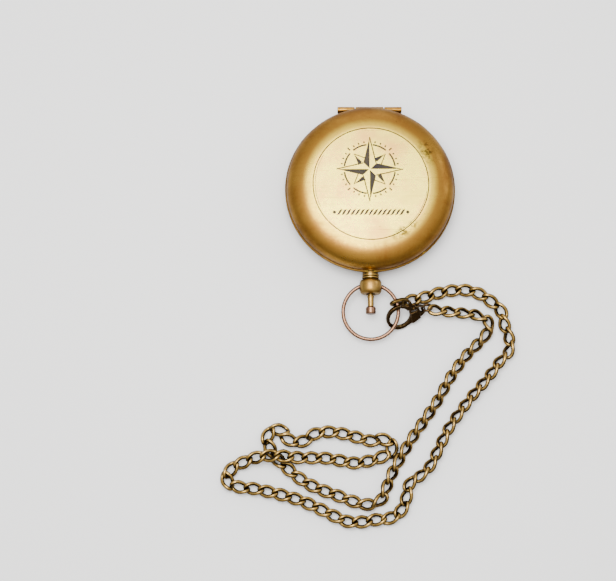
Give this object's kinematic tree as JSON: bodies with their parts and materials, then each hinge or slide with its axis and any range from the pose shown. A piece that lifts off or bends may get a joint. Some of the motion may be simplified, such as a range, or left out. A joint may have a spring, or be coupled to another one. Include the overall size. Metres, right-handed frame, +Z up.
{
  "type": "pocket compass",
  "caption": "Round brass pocket compass in a closed hinged case, with a push-button pendant, a swinging wire bow, and a loose curb chain that ends in a claw clasp.",
  "frame": {"origin": "centre of the flat under the case, on the surface it lies on", "axes": "+Z up through the lid, +Y to the lid's hinge, -Y along the pendant to the button and the bow"},
  "size_m": [0.0866, 0.1259, 0.013],
  "materials": {
    "case_brass": "antique brass, polished on the flats and dark at the edges",
    "pale_brass": "bright polished pale brass",
    "rose_brass": "polished pale rose brass wire",
    "chain_brass": "antique brass wire, dark between the links",
    "dark_bronze": "dark bronze plating, pale where the edges are worn",
    "spring_steel": "plain steel",
    "blued_steel": "blued steel",
    "dial_enamel": "matt ivory enamel with printed marks",
    "crystal_glass": "clear"
  },
  "bodies": {
    "case": {"case_base": "case_brass", "base_hinge_leaf": "case_brass", "hinge_pin": "spring_steel", "lift_spring": "spring_steel", "lift_spring_screw": "spring_steel", "compass_cup": "case_brass", "dial_card": "dial_enamel", "pivot_post": "spring_steel", "chapter_ring": "pale_brass", "crystal": "crystal_glass", "bezel_ring": "pale_brass", "pendant_neck": "pale_brass", "pendant_ball": "pale_brass", "plunger_spring": "spring_steel", "chain_out": "chain_brass", "chain_back": "chain_brass"},
    "lid": {"case_lid": "case_brass", "lid_hinge_leaf": "case_brass", "lid_striker": "case_brass"},
    "plunger": {"plunger_stem": "pale_brass", "plunger_button": "pale_brass", "catch_hook": "spring_steel"},
    "needle": {"needle": "blued_steel", "needle_cap": "pale_brass"},
    "bow": {"bow": "rose_brass", "chain_end_link": "chain_brass", "clasp_body": "dark_bronze", "clasp_rivet": "dark_bronze", "clasp_spring": "spring_steel", "clasp_eye": "dark_bronze"},
    "gate": {"clasp_gate": "dark_bronze"}
  },
  "joints": [
    {"name": "lid_hinge", "type": "hinge", "parent": "case", "child": "lid", "pos_m": [0, 0.0249, 0.00685], "axis": [-1, 0, 0], "range_deg": [0, 105]},
    {"name": "button_press", "type": "slide", "parent": "case", "child": "plunger", "axis": [0, 1, 0], "range_m": [0, 0.001], "stiffness_N_per_m": 300, "springref_m": -0.002, "deforming": ["plunger_spring"]},
    {"name": "needle_spin", "type": "hinge", "parent": "case", "child": "needle", "pos_m": [0, 0, 0.00464], "axis": [0, 0, 1], "continuous": true},
    {"name": "bow_swing", "type": "hinge", "parent": "case", "child": "bow", "pos_m": [0, -0.02948, 0.0044], "axis": [-1, 0, 0], "range_deg": [0, 110]},
    {"name": "gate_swing", "type": "hinge", "parent": "bow", "child": "gate", "pos_m": [0.01242, -0.03561, 0.00454], "axis": [0.2744, -0.6659, 0.6937], "range_deg": [0, 25], "stiffness_Nm_per_rad": 0.0005, "springref_deg": -17.19}
  ]
}
